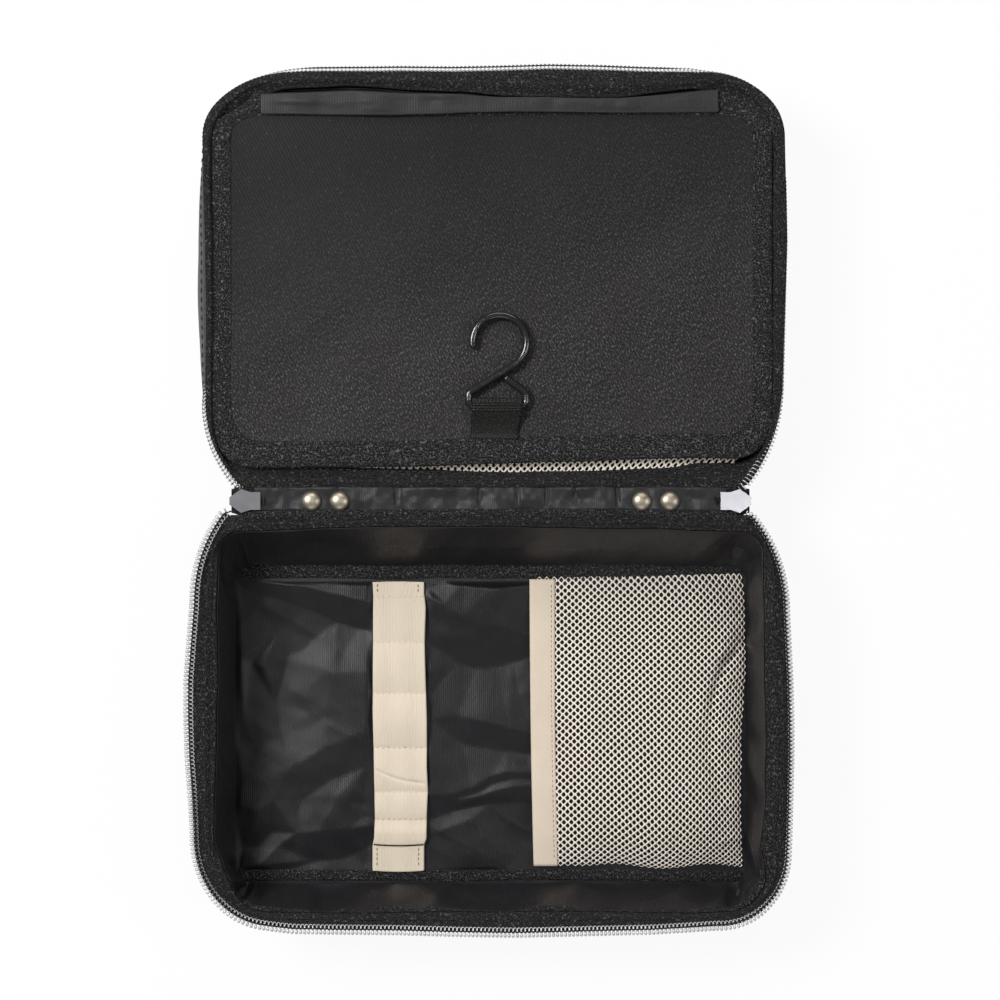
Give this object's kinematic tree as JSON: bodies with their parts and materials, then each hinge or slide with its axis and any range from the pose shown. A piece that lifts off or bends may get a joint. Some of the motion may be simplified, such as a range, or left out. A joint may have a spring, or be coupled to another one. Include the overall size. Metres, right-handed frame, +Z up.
{
  "type": "hanging cosmetic case",
  "caption": "Soft zip case that opens flat in two halves, with a brush band and net pocket in the base, and a fold-out flap over the lid that carries a wire hook for hanging.",
  "frame": {"origin": "on the surface the case lies on, under the middle of the spine, with both halves open flat", "axes": "+Z up, X along the spine, +Y from the spine towards the lid half, -Y towards the base half"},
  "size_m": [0.24, 0.352, 0.0415],
  "materials": {
    "shell_fabric": "matte dark grey woven",
    "foam": "matte padding",
    "board": "plain sheet",
    "lining_nylon": "satin nylon",
    "binding": "ribbed tape",
    "zip_tape": "herringbone tape",
    "zip_teeth": "silver coil",
    "elastic": "ribbed elastic",
    "net": "knitted net",
    "beige_binding": "ribbed tape",
    "twill": "satin twill",
    "webbing": "ribbed webbing",
    "slider_metal": "polished",
    "rivet_metal": "satin nickel",
    "hook_paint": "gloss black"
  },
  "bodies": {
    "base": {"base_shell": "shell_fabric", "base_padding": "foam", "base_board": "board", "base_lining": "lining_nylon", "base_rim_binding": "binding", "base_floor_binding": "binding", "base_zip_tape": "zip_tape", "base_zip_chain": "zip_teeth", "brush_band": "elastic", "mesh_pocket": "net", "mesh_pocket_binding": "beige_binding"},
    "spine": {"spine_strip": "shell_fabric", "spine_stiffener": "board", "spine_lining": "lining_nylon", "carry_handle": "webbing", "rivet_posts": "rivet_metal", "rivet_caps": "rivet_metal", "zip_stub_left": "zip_teeth", "zip_stub_right": "zip_teeth"},
    "lid": {"lid_shell": "shell_fabric", "lid_padding": "foam", "lid_board": "board", "lid_lining": "lining_nylon", "lid_rim_binding": "binding", "lid_floor_binding": "binding", "lid_zip_tape": "zip_tape", "lid_zip_chain": "zip_teeth", "lid_mesh_pocket": "net", "lid_mesh_binding": "beige_binding", "flap_fold_strip": "lining_nylon"},
    "flap": {"flap_back": "lining_nylon", "flap_board": "board", "flap_front": "twill", "flap_binding": "binding", "webbing_loop": "webbing"},
    "hook": {"hook": "hook_paint"},
    "slider_left": {"slider_left": "slider_metal"},
    "slider_right": {"slider_right": "slider_metal"},
    "pull_left": {"pull_tab_left": "slider_metal"},
    "pull_right": {"pull_tab_right": "slider_metal"}
  },
  "joints": [
    {"name": "spine_fold", "type": "hinge", "parent": "base", "child": "spine", "pos_m": [0, -0.006, 0.034], "axis": [1, 0, 0], "range_deg": [0, 90]},
    {"name": "lid_fold", "type": "hinge", "parent": "spine", "child": "lid", "pos_m": [0, 0.006, 0.034], "axis": [1, 0, 0], "range_deg": [0, 90]},
    {"name": "flap_fold", "type": "hinge", "parent": "lid", "child": "flap", "pos_m": [0, 0.17, 0.037], "axis": [-1, 0, 0], "range_deg": [0, 180], "deforming": ["flap_fold_strip"]},
    {"name": "hook_swing", "type": "hinge", "parent": "flap", "child": "hook", "pos_m": [0.0028, 0.039, 0.03875], "axis": [1, 0, 0], "range_deg": [0, 150]},
    {"name": "slider_left_run", "type": "slide", "parent": "spine", "child": "slider_left", "axis": [-1, 0, 0], "range_m": [0, 0.004]},
    {"name": "slider_right_run", "type": "slide", "parent": "spine", "child": "slider_right", "axis": [1, 0, 0], "range_m": [0, 0.004]},
    {"name": "pull_left_swing", "type": "hinge", "parent": "slider_left", "child": "pull_left", "pos_m": [-0.1003, 0, 0.03005], "axis": [0, 1, 0], "range_deg": [-75, 75]},
    {"name": "pull_right_swing", "type": "hinge", "parent": "slider_right", "child": "pull_right", "pos_m": [0.1003, 0, 0.03005], "axis": [0, 1, 0], "range_deg": [-75, 75]}
  ],
  "couplings": [
    {"joint": "lid_fold", "follows": "spine_fold", "ratio": 1}
  ]
}
